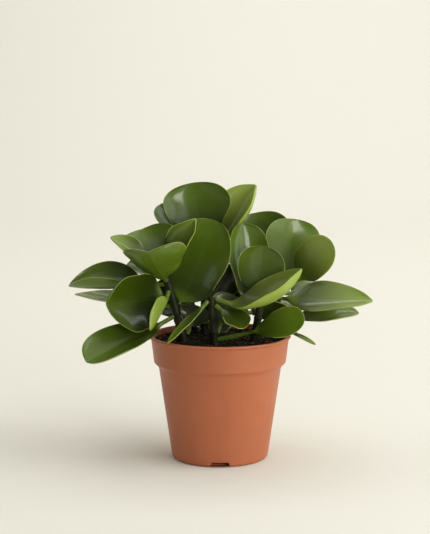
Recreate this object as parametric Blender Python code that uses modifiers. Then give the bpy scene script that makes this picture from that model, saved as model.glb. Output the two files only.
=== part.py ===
"""A peperomia (baby rubber plant) growing in a round nursery pot.

The pot, the soil, each stem and each leaf is its own solid.  Sizes below are in millimetres, as a
grower would measure them, and are turned into metres when a mesh is made.  +Z is up, the origin is
the centre of the pot's flat base, and the plant's best side looks along -Y.
"""
from collections import namedtuple
from math import cos, pi, radians, sin

import bmesh
import bpy
from mathutils import Matrix, Vector

MM = 0.001

# ---- pot --------------------------------------------------------------------------------------
POT_HEIGHT = 105.0
RIM_RADIUS = 60.0            # outside of the rolled lip
LIP_HEIGHT = 2.2
LIP_PROUD = 1.7              # how far the lip stands out from the band
BAND_HEIGHT = 23.3           # from the rim down to the step
BAND_TAPER = 2.3             # the band is this much narrower at its foot
STEP_DEPTH = 4.2             # the band's foot to the body
STEP_HEIGHT = 3.4
BASE_RADIUS = 41.3
BASE_EDGE_RADIUS = 3.5
WALL = 1.6
FLOOR = 2.2
POT_SIDES = 48

SLOT_COUNT = 4               # drain slots around the foot
SLOT_WIDTH = 16.5
SLOT_HEIGHT = 3.5
SLOT_SILL = 1.0              # plastic left under a slot
SLOT_REACH = 7.0             # how far a slot runs in under the pot's corner
SLOT_FLARE = 0.85            # top width over bottom width

# ---- soil and fits ----------------------------------------------------------------------------
FIT = 0.3                    # gap between pieces that touch
SOIL_BELOW_RIM = 5.0
SOIL_MOUND = 2.0             # the soil is this much higher in the middle

# ---- stems ------------------------------------------------------------------------------------
STEM_RADIUS = 3.4
STEM_FOOT_FLARE = 1.15
STEM_TIP_TAPER = 0.85
STEM_ROOTING = 14.0          # how deep a stem stands in the soil
STEM_POINTS = 8

# ---- leaves -----------------------------------------------------------------------------------
STALK_RADIUS = 1.9
BLADE_THICKNESS = 1.7
STALK_RINGS = 2
BLADE_RINGS = 7
RING_POINTS = 12
ROUND_TIP = 0.42             # outline exponents: blunt, drawn-out and pointed leaf ends
DRAWN_TIP = 0.75
POINTED_TIP = 1.0
WEDGE_FOOT = 0.78            # and blades that open slowly or at once from the stalk
ROUND_FOOT = 0.45

# The plant's measures below are those of a plant that fills a pot of this radius.
GROWN_FOR_RADIUS = 60.0
GROWTH = RIM_RADIUS / GROWN_FOR_RADIUS

RIM = Vector((0.0, 0.0, POT_HEIGHT))

# Stem: where it leaves the soil, its tip and its sideways bow.  Measured from the middle of the
# rim's plane, so heights count up from the pot's edge.
Stem = namedtuple("Stem", "foot tip bow")
STEMS = {
    "top": Stem((-14, 16), (-12, 14, 79), (0, 1)),
    "left": Stem((-27, -14), (-50, -6, 65), (1, -1)),
    "front": Stem((-4, -26), (-7, -30, 37), (0, -1)),
    "right": Stem((24, -14), (34, -16, 33), (1, 0)),
    "mid": Stem((42, 12), (50, 8, 40), (1, 1)),
    "back_left": Stem((-18, 28), (-28, 34, 47), (-1, 0)),
    "back_right": Stem((18, 30), (24, 36, 51), (0, 1)),
}

# Leaf: its name, the stem it grows on and how high, the point that its tip reaches, the way its
# upper face looks (compass turn from +X, and lift), its width, how far its sides cup up from the
# midrib, how much it bends towards its upper face, its stalk and the shape of its two ends.
Leaf = namedtuple("Leaf", "name stem height tip faces width cup curl stalk end foot",
                  defaults=(ROUND_TIP, WEDGE_FOOT))
LEAVES = (
    # crown
    Leaf("crown_broad", "top", 73, (-22, 26, 127), (-92, 15), 61, 35, 15, 6),
    Leaf("crown_right", "top", 64, (31, 36, 124), (-128, 22), 52, 80, 8, 8, DRAWN_TIP),
    Leaf("crown_left", "top", 61, (-52, 36, 107), (-60, 15), 30, 40, 5, 8),
    Leaf("crown_back", "top", 45, (-18, 76, 99), (-85, 45), 44, 35, 15, 14),
    Leaf("crown_back_left", "top", 53, (-68, 40, 82), (-50, 45), 42, 40, 15, 14),
    Leaf("crown_back_right", "top", 53, (38, 61, 82), (-110, 45), 42, 40, 15, 14),
    Leaf("crown_inner", "top", 17, (4, 2, 62), (-90, 20), 40, 30, 10, 8),
    Leaf("crown_low", "top", 7, (14, -4, 15), (-90, 40), 32, 30, 10, 8),
    Leaf("crown_left_low", "top", 16, (-58, 5, 38), (-100, 20), 34, 30, 10, 6),
    # left rosette
    Leaf("left_back", "left", 60, (-66, 18, 88), (-80, 30), 50, 30, 15, 8),
    Leaf("left_spear", "left", 63, (-20, -4, 99), (-110, 10), 30, 80, 8, 5, POINTED_TIP),
    Leaf("left_small", "left", 63, (-92, 0, 83), (-90, 65), 24, 45, 8, 8, DRAWN_TIP),
    Leaf("left_bowl", "left", 48, (-58, -46, 76), (86, 45), 60, 50, 15, 6),
    Leaf("centre_great", "left", 27, (-2, 0, 96), (-112, 12), 60, 38, 12, 3, ROUND_TIP, ROUND_FOOT),
    Leaf("left_long", "left", 45, (-128, 4, 41), (-90, 78), 56, 76, 8, 14, DRAWN_TIP),
    Leaf("left_under", "left", 27, (-124, 16, 32), (-90, 84), 32, 35, 10, 16, DRAWN_TIP),
    Leaf("left_round", "left", 33, (-93, -42, 33), (-100, 2), 58, 62, 40, 5, ROUND_TIP, ROUND_FOOT),
    Leaf("left_edge", "left", 38, (-57, -54, 14), (-175, 0), 26, 40, 15, 8, DRAWN_TIP),
    Leaf("left_droop", "left", 18, (-109, -53, -13), (-105, 58), 44, 44, 8, 12),
    Leaf("left_inner", "left", 2, (-18, -4, 25), (-90, 30), 28, 30, 10, 6),
    # front stem
    Leaf("front_blade", "front", 33, (-43, -46, 1), (215, 40), 12, 40, 8, 5, DRAWN_TIP),
    Leaf("front_crescent", "front", 35, (66, -46, 62), (-96, 74), 50, 68, 100, 10, DRAWN_TIP),
    Leaf("front_low", "front", 29, (21, -46, 14), (-60, 50), 26, 30, 10, 5),
    Leaf("front_inner", "front", 6, (10, -12, 36), (-90, 25), 30, 30, 10, 6),
    Leaf("front_rim", "front", 1, (69, -44, 21), (-95, 45), 30, 30, 10, 30),
    # right rosette
    Leaf("right_tall", "right", 19, (18.5, 3, 94), (-66, 10), 44, 54, 20, 5),
    Leaf("right_face", "right", 28.5, (36, -13, 77), (-90, 10), 42, 35, 5, 5),
    Leaf("right_glossy", "mid", 38, (63, 13, 97), (-70, 30), 50, 16, -10, 12),
    Leaf("right_round", "mid", 35, (91, -24, 83), (-85, 30), 33, 15, 8, 22, ROUND_TIP, ROUND_FOOT),
    Leaf("right_back", "mid", 28, (31, 38, 100), (-90, 15), 60, 35, 12, 5),
    Leaf("right_long", "mid", 30, (128, -10, 30), (-90, 58), 40, 30, 0, 8, DRAWN_TIP, ROUND_FOOT),
    Leaf("right_under", "mid", 15, (117, -6, 19), (-90, 68), 34, 30, 8, 14, DRAWN_TIP),
    Leaf("right_tail", "mid", 9, (79, -30, -3), (-60, 30), 6, 30, 6, 20, DRAWN_TIP),
    Leaf("right_inner", "mid", 3, (44, -8, 30), (-90, 25), 32, 30, 10, 8),
    Leaf("right_behind", "mid", 34, (94, 42, 33), (-150, 65), 48, 40, 15, 14),
    # back of the plant
    Leaf("back_left_side", "back_left", 41, (-82, 50, 53), (-30, 65), 50, 40, 20, 12),
    Leaf("back_left_high", "back_left", 44, (-42, 72, 74), (-60, 45), 50, 40, 20, 8),
    Leaf("back_middle", "back_left", 33, (-20, 90, 45), (-80, 60), 52, 40, 20, 12),
    Leaf("back_left_inner", "back_left", 5, (-31, 8, 10), (-90, 40), 32, 30, 10, 8),
    Leaf("back_left_droop", "back_left", 11, (-56, 78, 7), (-60, 70), 46, 35, -10, 16),
    Leaf("back_right_high", "back_right", 49, (18, 78, 85), (-90, 40), 50, 40, 20, 10),
    Leaf("back_inner_right", "back_right", 16, (26, 6, 38), (-90, 25), 36, 30, 10, 8),
    Leaf("back_right_side", "back_right", 41, (62, 74, 53), (-130, 60), 52, 40, 20, 12),
    Leaf("back_droop", "back_right", 15, (8, 96, 9), (-90, 70), 48, 35, -10, 16),
    Leaf("back_right_droop", "back_right", 13, (70, 62, 11), (-140, 70), 46, 35, -10, 16),
)

TERRACOTTA = ("pot plastic", (0.52, 0.21, 0.10, 1.0), 0.55)
SOIL = ("potting soil", (0.035, 0.022, 0.014, 1.0), 1.0)
STEM_GREEN = ("stem", (0.20, 0.27, 0.06, 1.0), 0.45)
LEAF_GREEN = ("leaf", (0.07, 0.16, 0.02, 1.0), 0.3)


# ---- helpers ----------------------------------------------------------------------------------
def new_collection(name):
    collection = bpy.data.collections.new(name)
    bpy.context.scene.collection.children.link(collection)
    return collection


def material(name, colour, roughness):
    """One Principled material, made once and then shared."""
    made = bpy.data.materials.get(name)
    if made is None:
        made = bpy.data.materials.new(name)
        made.use_nodes = True
        shader = made.node_tree.nodes["Principled BSDF"]
        shader.inputs["Base Color"].default_value = colour
        shader.inputs["Roughness"].default_value = roughness
        shader.inputs["Metallic"].default_value = 0.0
    return made


def place(name, mesh, collection, finish=None):
    piece = bpy.data.objects.new(name, mesh)
    collection.objects.link(piece)
    if finish:
        mesh.materials.append(material(*finish))
    return piece


def arc(centre, radius, start, end, steps):
    """Points (r, z) of an arc, angles in degrees counted from +r towards +z."""
    turns = [radians(start + (end - start) * i / steps) for i in range(steps + 1)]
    return [(centre[0] + radius * cos(a), centre[1] + radius * sin(a)) for a in turns]


def turned(name, profile, collection, finish=None, sides=POT_SIDES):
    """A body of revolution about Z from a profile of (radius, height) in millimetres."""
    mesh = bpy.data.meshes.new(name)
    points = [(r * MM, 0.0, z * MM) for r, z in profile]
    mesh.from_pydata(points, [(i, i + 1) for i in range(len(points) - 1)], [])
    piece = place(name, mesh, collection, finish)
    screw = piece.modifiers.new("Turn", "SCREW")
    screw.axis = "Z"
    screw.steps = sides
    screw.render_steps = sides
    screw.use_merge_vertices = True
    screw.merge_threshold = 0.00001
    screw.use_smooth_shade = True
    return piece


def cut(piece, cutter):
    """Takes the cutter's shape out of the piece."""
    cutter.hide_render = True
    cutter.display_type = "WIRE"
    boolean = piece.modifiers.new("Cut " + cutter.name, "BOOLEAN")
    boolean.operation = "DIFFERENCE"
    boolean.solver = "EXACT"
    boolean.object = cutter


# ---- pot --------------------------------------------------------------------------------------
BAND_TOP_RADIUS = RIM_RADIUS - LIP_PROUD
BAND_FOOT_RADIUS = BAND_TOP_RADIUS - BAND_TAPER
BODY_TOP_RADIUS = BAND_FOOT_RADIUS - STEP_DEPTH
BAND_FOOT_Z = POT_HEIGHT - BAND_HEIGHT
BODY_TOP_Z = BAND_FOOT_Z - STEP_HEIGHT
INNER_RIM_RADIUS = BAND_TOP_RADIUS - WALL


def inner_wall(clearance=0.0):
    """The pot's inside from the floor's centre to the band's top, or a fit inside it."""
    narrower = WALL + clearance
    floor = FLOOR + clearance
    corner = BASE_EDGE_RADIUS - WALL / 2
    foot = BASE_RADIUS - narrower
    slope = (BODY_TOP_RADIUS - BASE_RADIUS) / BODY_TOP_Z
    return ([(0.0, floor), (foot - corner, floor)]
            + arc((foot - corner, floor + corner), corner, -60, 0, 2)
            + [(foot + slope * BODY_TOP_Z * 0.5, BODY_TOP_Z * 0.5),
               (BODY_TOP_RADIUS - narrower, BODY_TOP_Z + clearance),
               (BAND_FOOT_RADIUS - narrower, BAND_FOOT_Z + clearance)])


def make_pot(parts, cutters):
    lip = LIP_HEIGHT / 2
    outside = ([(INNER_RIM_RADIUS, POT_HEIGHT - lip)]
               + arc((INNER_RIM_RADIUS + lip, POT_HEIGHT - lip), lip, 150, 90, 2)
               + arc((RIM_RADIUS - lip, POT_HEIGHT - lip), lip, 90, -90, 4)
               + [(BAND_TOP_RADIUS, POT_HEIGHT - LIP_HEIGHT - 0.4),
                  (BAND_FOOT_RADIUS, BAND_FOOT_Z + 1.0),
                  (BAND_FOOT_RADIUS - 0.6, BAND_FOOT_Z),
                  (BODY_TOP_RADIUS + 0.6, BODY_TOP_Z + 0.8),
                  (BODY_TOP_RADIUS, BODY_TOP_Z)]
               + arc((BASE_RADIUS - BASE_EDGE_RADIUS, BASE_EDGE_RADIUS), BASE_EDGE_RADIUS, 0, -90, 4)
               + [(0.0, 0.0)])
    pot = turned("pot", inner_wall() + outside, parts, TERRACOTTA)
    for index in range(SLOT_COUNT):
        cut(pot, slot_cutter(index, cutters))
    return pot


def slot_cutter(index, cutters):
    """A flared block through the foot of the wall; the first slot looks along -Y."""
    mesh = bpy.data.meshes.new(f"slot_{index + 1}")
    shape = bmesh.new()
    bmesh.ops.create_cube(shape, size=1.0)
    for corner in shape.verts:
        width = SLOT_WIDTH * (SLOT_FLARE if corner.co.z > 0 else 1.0)
        outward = BASE_RADIUS + WALL if corner.co.y < 0 else BASE_RADIUS - SLOT_REACH
        height = SLOT_SILL + (SLOT_HEIGHT if corner.co.z > 0 else 0.0)
        corner.co = Vector((corner.co.x * width, -outward, height)) * MM
    bmesh.ops.rotate(shape, verts=shape.verts, cent=(0, 0, 0),
                     matrix=Matrix.Rotation(2 * pi * index / SLOT_COUNT, 3, "Z"))
    bmesh.ops.recalc_face_normals(shape, faces=shape.faces)
    shape.to_mesh(mesh)
    shape.free()
    return place(mesh.name, mesh, cutters)


# ---- stems ------------------------------------------------------------------------------------
def soil_height(x, y):
    """The soil's surface over a point, above the pot's base."""
    away = min(1.0, (x * x + y * y) ** 0.5 / INNER_RIM_RADIUS)
    return POT_HEIGHT - SOIL_BELOW_RIM + SOIL_MOUND * (1 - away * away)


def stem_axis(stem, share):
    """A point on a stem's axis, from its foot (0) to its tip (1)."""
    foot = Vector((stem.foot[0] * GROWTH, stem.foot[1] * GROWTH, 0.0))
    foot.z = soil_height(foot.x, foot.y) - STEM_ROOTING
    tip = RIM + Vector(stem.tip) * GROWTH
    bow = Vector((stem.bow[0], stem.bow[1], 0.0)) * GROWTH
    return foot.lerp(tip, share) + bow * sin(pi * share)


def stem_width(share):
    return STEM_RADIUS * (STEM_FOOT_FLARE + (STEM_TIP_TAPER - STEM_FOOT_FLARE) * share)


def stem_at_height(stem, height):
    """Share of the stem's length that lies at a height above the rim."""
    low, high = stem_axis(stem, 0.0).z, stem_axis(stem, 1.0).z
    return min(1.0, (POT_HEIGHT + height * GROWTH - low) / (high - low))


def tube(name, points, radii, collection, finish=None):
    """A round rod through points, in millimetres, as a bevelled curve with closed ends."""
    curve = bpy.data.curves.new(name, "CURVE")
    curve.dimensions = "3D"
    curve.bevel_depth = MM
    curve.bevel_resolution = 2
    curve.use_fill_caps = True
    line = curve.splines.new("POLY")
    line.points.add(len(points) - 1)
    for knot, point, radius in zip(line.points, points, radii):
        knot.co = (*(point * MM), 1.0)
        knot.radius = radius
    return place(name, curve, collection, finish)


def make_stem(name, stem, parts):
    shares = [i / (STEM_POINTS - 1) for i in range(STEM_POINTS)]
    points = [stem_axis(stem, share) for share in shares]
    return tube("stem_" + name, points, [stem_width(share) for share in shares], parts, STEM_GREEN)


def root_hole(name, stem, cutters):
    """A tube a fit wider than the stem's foot, open above the soil."""
    above = STEM_ROOTING + SOIL_BELOW_RIM
    length = (stem_axis(stem, 1.0) - stem_axis(stem, 0.0)).length
    shares = [-FIT / length, 0.0, 1.0 / (STEM_POINTS - 1), max(above / length, 2.0 / (STEM_POINTS - 1))]
    points = [stem_axis(stem, share) for share in shares]
    radii = [stem_width(max(share, 0.0)) + FIT for share in shares]
    bore = tube("bore_" + name, points, radii, cutters)
    graph = bpy.context.evaluated_depsgraph_get()
    mesh = bpy.data.meshes.new_from_object(bore.evaluated_get(graph))
    bpy.data.objects.remove(bore)
    shape = bmesh.new()
    shape.from_mesh(mesh)
    bmesh.ops.remove_doubles(shape, verts=shape.verts, dist=0.00001)
    bmesh.ops.recalc_face_normals(shape, faces=shape.faces)
    shape.to_mesh(mesh)
    shape.free()
    return place("hole_" + name, mesh, cutters)


# ---- soil -------------------------------------------------------------------------------------
def make_soil(parts, cutters):
    """The soil fills the pot a fit inside its walls; each stem stands in a hole of its own."""
    level = POT_HEIGHT - SOIL_BELOW_RIM
    slope = BAND_TAPER / (BAND_HEIGHT - LIP_HEIGHT / 2)
    edge = BAND_FOOT_RADIUS - WALL - FIT + slope * (level - BAND_FOOT_Z)
    dome = [(edge * share, soil_height(edge * share, 0.0)) for share in (0.75, 0.5, 0.25, 0.0)]
    soil = turned("soil", inner_wall(FIT) + [(edge, level)] + dome, parts, SOIL)
    for name, stem in STEMS.items():
        cut(soil, root_hole(name, stem, cutters))
    return soil


# ---- leaves -----------------------------------------------------------------------------------
def heading(turn, lift):
    turn, lift = radians(turn), radians(lift)
    return Vector((cos(lift) * cos(turn), cos(lift) * sin(turn), sin(lift)))


class Midrib:
    """The arc from a leaf's foot to its tip, with the leaf's frame carried along it."""

    def __init__(self, foot, tip, faces, curl):
        chord = tip - foot
        self.foot = foot
        self.bend = radians(curl) or 0.001
        self.radius = chord.length / (2 * sin(self.bend / 2))
        self.length = self.radius * self.bend
        self.along = chord.normalized()
        up = heading(*faces)
        self.up = (up - self.along * up.dot(self.along)).normalized()
        self.side = self.up.cross(self.along)

    def at(self, share):
        """Position and upward direction at a share of the arc."""
        angle = self.bend * (share - 0.5)
        rise = sin(self.bend / 2) + sin(angle)
        sag = cos(self.bend / 2) - cos(angle)
        point = self.foot + self.radius * (self.along * rise + self.up * sag)
        return point, self.up * cos(angle) - self.along * sin(angle)

    def start(self):
        """The direction in which the stalk leaves its stem."""
        return self.along * cos(self.bend / 2) - self.up * sin(self.bend / 2)


def leaf_midrib(leaf):
    """The stalk leaves the stem's side, a fit away from its skin."""
    stem = STEMS[leaf.stem]
    share = stem_at_height(stem, leaf.height)
    node = stem_axis(stem, share)
    lean = (stem_axis(stem, 1.0) - stem_axis(stem, 0.0)).normalized()
    tip = RIM + Vector(leaf.tip) * GROWTH
    foot = node
    for _ in range(3):
        start = Midrib(foot, tip, leaf.faces, leaf.curl).start()
        away = (start - lean * start.dot(lean)).normalized()
        tilt = (1 - start.dot(away) ** 2) ** 0.5
        foot = node + away * (stem_width(share) + FIT + STALK_RADIUS * tilt)
    return Midrib(foot, tip, leaf.faces, leaf.curl)


def blade_half_width(leaf, share):
    """Half width of the blade at a share of its length: wedge foot, broad shoulder, blunt end."""
    widest = leaf.foot / (leaf.foot + leaf.end)
    peak = widest ** leaf.foot * (1 - widest) ** leaf.end
    outline = share ** leaf.foot * (1 - share) ** leaf.end / peak
    return max(leaf.width * GROWTH / 2 * outline, STALK_RADIUS * (1 - 3 * share))


def leaf_stations(leaf, length):
    """Shares of the whole arc at which a leaf's sections stand, and each one's share of the blade."""
    stalk = leaf.stalk * GROWTH / length
    stations = [(stalk * i / STALK_RINGS, 0.0) for i in range(STALK_RINGS)]
    for i in range(BLADE_RINGS):
        even = (i + 0.35) / (BLADE_RINGS - 0.3)
        share = 0.45 * even + 0.275 * (1 - cos(pi * even))
        stations.append((stalk + (1 - stalk) * share, share))
    return stations


def leaf_section(leaf, midrib, at, share):
    """A ring of points: round on the stalk, a thin cupped lens across the blade."""
    centre, up = midrib.at(at)
    half = blade_half_width(leaf, share) if share > 0 else STALK_RADIUS
    thick = STALK_RADIUS + (BLADE_THICKNESS / 2 - STALK_RADIUS) * min(1.0, share / 0.3)
    if share > 0.8:
        thick *= 0.75 + 0.25 * ((1 - share) / 0.2) ** 0.5
    cup = radians(leaf.cup) * min(1.0, 0.15 + 2.5 * share)
    bow = half / cup
    ring = []
    for i in range(RING_POINTS):
        turn = 2 * pi * i / RING_POINTS
        lean = cup * cos(turn)
        out = midrib.side * (-sin(lean)) + up * cos(lean)
        point = centre + midrib.side * (bow * sin(lean)) + up * (bow * (1 - cos(lean)))
        ring.append(point + out * (thick * sin(turn)))
    return ring


def make_leaf(leaf, parts):
    """A leaf and its stalk in one: a loft from the round stalk to the cupped blade."""
    midrib = leaf_midrib(leaf)
    name = "leaf_" + leaf.name
    mesh = bpy.data.meshes.new(name)
    shape = bmesh.new()
    rings = []
    for at, share in leaf_stations(leaf, midrib.length):
        ring = leaf_section(leaf, midrib, at, share)
        rings.append([shape.verts.new(point * MM) for point in ring])
    ends = [shape.verts.new(midrib.at(share)[0] * MM) for share in (0.0, 1.0)]
    for i in range(RING_POINTS):
        j = (i + 1) % RING_POINTS
        for ring, above in zip(rings, rings[1:]):
            shape.faces.new((ring[i], ring[j], above[j], above[i]))
        shape.faces.new((ends[0], rings[0][j], rings[0][i]))
        shape.faces.new((ends[1], rings[-1][i], rings[-1][j]))
    bmesh.ops.recalc_face_normals(shape, faces=shape.faces)
    shape.to_mesh(mesh)
    shape.free()
    mesh.shade_smooth()
    return place(name, mesh, parts, LEAF_GREEN)


# ---- the whole object -------------------------------------------------------------------------
def main():
    for thing in list(bpy.data.objects):
        bpy.data.objects.remove(thing)
    parts = new_collection("potted_peperomia")
    cutters = new_collection("cutters")
    make_pot(parts, cutters)
    make_soil(parts, cutters)
    for name, stem in STEMS.items():
        make_stem(name, stem, parts)
    for leaf in LEAVES:
        make_leaf(leaf, parts)


main()
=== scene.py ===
"""A potted peperomia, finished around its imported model.

Laid out as a Blender add-on: the sizes and colours a grower might change are properties, each group
of like pieces has an operator, and the panel in the 3D view's sidebar lists them in order.
"""
import random
from contextlib import contextmanager
from math import cos, pi, radians, sin

import bmesh
import bpy
import numpy as np
from bpy.props import FloatProperty, FloatVectorProperty, IntProperty, PointerProperty
from mathutils import Euler, Matrix, Vector, noise


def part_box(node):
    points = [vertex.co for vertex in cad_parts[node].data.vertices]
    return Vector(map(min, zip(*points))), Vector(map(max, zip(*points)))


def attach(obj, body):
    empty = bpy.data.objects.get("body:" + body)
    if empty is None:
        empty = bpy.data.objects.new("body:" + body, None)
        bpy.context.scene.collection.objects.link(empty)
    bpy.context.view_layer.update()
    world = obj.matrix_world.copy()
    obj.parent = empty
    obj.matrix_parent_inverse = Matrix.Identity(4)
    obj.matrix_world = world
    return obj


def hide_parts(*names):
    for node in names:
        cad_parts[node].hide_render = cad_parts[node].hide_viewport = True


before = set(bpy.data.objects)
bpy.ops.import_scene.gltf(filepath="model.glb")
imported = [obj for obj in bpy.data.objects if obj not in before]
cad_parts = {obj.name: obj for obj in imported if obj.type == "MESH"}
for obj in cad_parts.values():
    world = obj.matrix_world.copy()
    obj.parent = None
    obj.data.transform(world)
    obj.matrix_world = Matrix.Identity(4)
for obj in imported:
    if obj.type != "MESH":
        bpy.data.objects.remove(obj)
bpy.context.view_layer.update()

bl_info = {
    "name": "Potted Peperomia",
    "version": (1, 0, 0),
    "blender": (4, 5, 0),
    "location": "View3D > Sidebar > Peperomia",
    "description": "Grows the leaves, stems and soil of a potted peperomia and moulds its pot",
    "category": "Object",
}

MM = 0.001
BODY = "root"
WELD = 0.005 * MM            # points of a finished mesh closer than this are one


# ---- what a user can change -------------------------------------------------------------------
def colour(title, text, value):
    return FloatVectorProperty(name=title, description=text, subtype="COLOR", size=4,
                               min=0.0, max=1.0, default=(*value, 1.0))


def length(title, text, value):
    return FloatProperty(name=title, description=text, default=value, unit="LENGTH", precision=5)


class LeafLook(bpy.types.PropertyGroup):
    # Painted shade: this darkest green stands in for the shade on the leaves inside the bush and at each
    # leaf's foot.
    deep: colour("Shaded leaf", "Darkest green, of old leaves inside the bush", (0.014, 0.0235, 0.0003))
    upper: colour("Upper face", "Deep green of a grown leaf's upper face", (0.068, 0.124, 0.001))
    # Painted light: this pale green stands in for the window's light on the leaves and undersides turned
    # to it; it also tints the mottle a little.
    fresh: colour("Young upper face", "Brighter green of a young leaf", (0.285, 0.37, 0.055))
    under: colour("Underside", "Paler green below", (0.092, 0.15, 0.008))
    margin: colour("Margin", "Thin pale edge", (0.30, 0.34, 0.07))
    rib_groove: length("Midrib groove", "Depth of the midrib on the upper face", 0.00016)
    rib_ridge: length("Midrib ridge", "Height of the midrib below", 0.0007)
    ruffle: length("Ruffle", "Height of the gentle waves along the margin", 0.0007)
    around: IntProperty(name="Points around", description="Points around each leaf", default=64)
    along: IntProperty(name="Points along", description="Rings from stalk to tip", default=72)


class StemLook(bpy.types.PropertyGroup):
    # Partly painted shade: the stem's green is darkened to near black for the shade inside the bush.
    skin: colour("Skin", "Green of the fleshy stem", (0.012, 0.017, 0.0015))
    foot: colour("Foot", "Browner foot near the soil", (0.007, 0.005, 0.0015))
    joint_gap: length("Joint gap", "Distance between the joints of a stem", 0.011)
    joint_swell: length("Joint swelling", "How far a joint stands out", 0.0005)


class SoilLook(bpy.types.PropertyGroup):
    # Partly painted shade: peat and crumbs are darkened towards black for the shade under the leaves,
    # beyond the dark of damp peat.
    peat: colour("Peat", "Dark wet peat", (0.006, 0.005, 0.0015))
    crumb: colour("Crumb", "Drier crumbs", (0.022, 0.018, 0.005))
    fibre: colour("Fibre", "Coir fibres", (0.34, 0.13, 0.05))
    crumbs: IntProperty(name="Crumbs", description="Loose crumbs on the surface", default=420)
    fibres: IntProperty(name="Fibres", description="Coir fibres on the surface", default=90)
    seed: IntProperty(name="Seed", description="Another seed strews the soil another way", default=7)


class PotLook(bpy.types.PropertyGroup):
    plastic: colour("Plastic", "Terracotta-coloured plastic", (0.45, 0.128, 0.048))
    sides: IntProperty(name="Sides", description="Steps of the turned pot", default=144)
    wall: length("Wall", "Thickness of the plastic", 0.0016)
    floor: length("Floor", "Thickness of the floor", 0.0022)
    lip: length("Lip", "Height of the rolled lip", 0.0022)
    lip_proud: length("Lip overhang", "How far the lip stands out from the band", 0.0017)
    band: length("Band", "Height of the band under the rim", 0.0233)
    band_taper: length("Band taper", "How much narrower the band is at its foot", 0.0023)
    step_depth: length("Step depth", "From the band's foot in to the body", 0.0042)
    step: length("Step", "Height of the step under the band", 0.0034)
    base: length("Base radius", "Radius of the pot's base", 0.0413)
    base_edge: length("Base edge", "Rounding of the base's edge", 0.0035)
    slot_width: length("Slot width", "Width of a drain slot at its bottom", 0.0165)
    slot_height: length("Slot height", "Height of a drain slot", 0.0035)
    slot_sill: length("Slot sill", "Plastic left under a drain slot", 0.001)
    slot_reach: length("Slot reach", "How far a drain slot runs in under the corner", 0.007)


class StageLook(bpy.types.PropertyGroup):
    paper: colour("Paper", "Cream background paper", (0.80, 0.775, 0.70))
    key: FloatProperty(name="Window", description="Light from the right", default=37.0, unit="POWER")
    top: FloatProperty(name="Ceiling", description="Broad light from above", default=22.5, unit="POWER")
    fill: FloatProperty(name="Reflector", description="Faint light on the left", default=4.0, unit="POWER")
    pane: FloatProperty(name="Skylight", description="Small bright pane that the waxy leaves mirror",
                        default=6.5, unit="POWER")
    wall: FloatProperty(name="Backdrop", description="Light on the backdrop", default=50.0, unit="POWER")
    sky: FloatProperty(name="Room", description="Strength of the light of the room", default=0.2)


# ---- modelling helpers ------------------------------------------------------------------------
def clear_selection():
    for thing in bpy.context.selected_objects:
        thing.select_set(False)
    bpy.context.view_layer.objects.active = None


def select(*things):
    clear_selection()
    for thing in things:
        thing.select_set(True)
    bpy.context.view_layer.objects.active = things[0]


def coordinates(mesh):
    flat = np.empty(len(mesh.vertices) * 3)
    mesh.vertices.foreach_get("co", flat)
    return flat.reshape(-1, 3)


def set_coordinates(mesh, points):
    mesh.vertices.foreach_set("co", np.asarray(points, float).ravel())
    mesh.update()


def set_attribute(mesh, name, values):
    layer = mesh.attributes.new(name, "FLOAT", "POINT")
    layer.data.foreach_set("value", np.asarray(values, np.float32))


@contextmanager
def editing(piece):
    """Edit mode with the whole piece selected."""
    select(piece)
    bpy.ops.object.mode_set(mode="EDIT")
    bpy.ops.mesh.select_all(action="SELECT")
    yield
    bpy.ops.object.mode_set(mode="OBJECT")


def recalculate_normals(piece):
    with editing(piece):
        bpy.ops.mesh.normals_make_consistent(inside=False)


def finish(piece, name, finish_material, slot, *nodes):
    """Names a piece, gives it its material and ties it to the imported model."""
    piece.name = name
    piece.data.name = name
    piece.data.materials.clear()
    piece.data.materials.append(finish_material)
    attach(piece, BODY)
    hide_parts(*nodes)
    return piece


def drawn_ball(around, along, shape):
    """A ball whose points are moved onto a grown shape.

    shape(down, turn) gives the points and their attributes: down runs from 0 at the foot to 1 at
    the tip, and turn goes round the piece.
    """
    clear_selection()
    bpy.ops.mesh.primitive_uv_sphere_add(segments=around, ring_count=along, radius=1.0)
    piece = bpy.context.object
    unit = coordinates(piece.data)
    down = np.arccos(np.clip(unit[:, 2], -1.0, 1.0)) / pi
    turn = np.arctan2(unit[:, 1], unit[:, 0])
    points, marks = shape(down, turn)
    set_coordinates(piece.data, points)
    for mark, values in marks.items():
        set_attribute(piece.data, mark, values)
    recalculate_normals(piece)
    bpy.ops.object.shade_smooth()
    return piece


def spline(knots, values, at):
    """Smooth curve through values at knots, with slopes from the neighbouring knots."""
    knots, values, at = (np.asarray(given, float) for given in (knots, values, at))
    flat = values.ndim == 1
    values = values[:, None] if flat else values
    step = np.diff(knots)[:, None]
    slope = np.diff(values, axis=0) / step
    inner = (slope[:-1] * step[1:] + slope[1:] * step[:-1]) / (step[:-1] + step[1:])
    tangent = np.vstack((slope[:1], inner, slope[-1:]))
    cell = np.clip(np.searchsorted(knots, at, side="right") - 1, 0, len(step) - 1)
    width = step[cell]
    t = (at - knots[cell])[:, None] / width
    result = ((2 * t**3 - 3 * t**2 + 1) * values[cell] + (t**3 - 2 * t**2 + t) * width * tangent[cell]
              + (3 * t**2 - 2 * t**3) * values[cell + 1] + (t**3 - t**2) * width * tangent[cell + 1])
    return result[:, 0] if flat else result


def unit_rows(rows):
    return rows / np.linalg.norm(rows, axis=-1, keepdims=True)


def ramp(values, low, high):
    """0 up to low, 1 from high on, and smooth between them."""
    share = np.clip((values - low) / (high - low), 0.0, 1.0)
    return share * share * (3 - 2 * share)


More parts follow.
